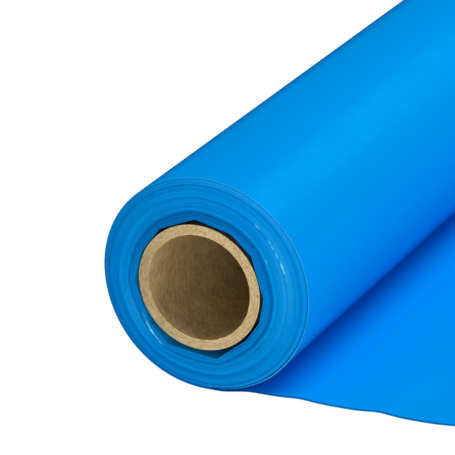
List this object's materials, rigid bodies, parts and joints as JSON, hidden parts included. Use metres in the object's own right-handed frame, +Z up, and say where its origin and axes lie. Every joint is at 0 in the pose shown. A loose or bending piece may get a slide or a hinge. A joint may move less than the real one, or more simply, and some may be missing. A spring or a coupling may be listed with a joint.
{
  "type": "backdrop film roll",
  "caption": "Roll of plastic studio backdrop film on a spiral-wound paper core, lying down with its free end pulled out flat.",
  "frame": {"origin": "on the floor below the axis of the roll, halfway along it, on the flat underside of the outermost turn", "axes": "+Y along the roll from its near end to its far end, +Z up, +X the way the free end of the film is pulled out"},
  "size_m": [0.501, 1.35, 0.102],
  "materials": {
    "film": "satin, slightly creased",
    "core_board": "matt, fibrous at the cut ends",
    "core_liner": "matt, darker inner ply",
    "tape": "matt"
  },
  "bodies": {
    "film": {"outer_turn": "film"},
    "roll": {"core_liner": "core_liner", "core_ply_2": "core_board", "core_ply_3": "core_board", "core_ply_4": "core_board", "core_ply_5": "core_board", "core_ply_6": "core_board", "core_ply_7": "core_board", "core_wrap": "core_board", "start_tape": "tape", "first_turns": "film", "wound_film": "film"},
    "sheet": {"loose_sheet": "film"}
  },
  "joints": [
    {"name": "roll_turn", "type": "hinge", "parent": "film", "child": "roll", "pos_m": [0, 0, 0.051], "axis": [0, -1, 0], "range_deg": [0, 1080]},
    {"name": "film_pull", "type": "slide", "parent": "film", "child": "sheet", "axis": [1, 0, 0], "range_m": [0, 0.962]}
  ],
  "couplings": [
    {"joint": "film_pull", "follows": "roll_turn", "m_per_rad": 0.051}
  ]
}
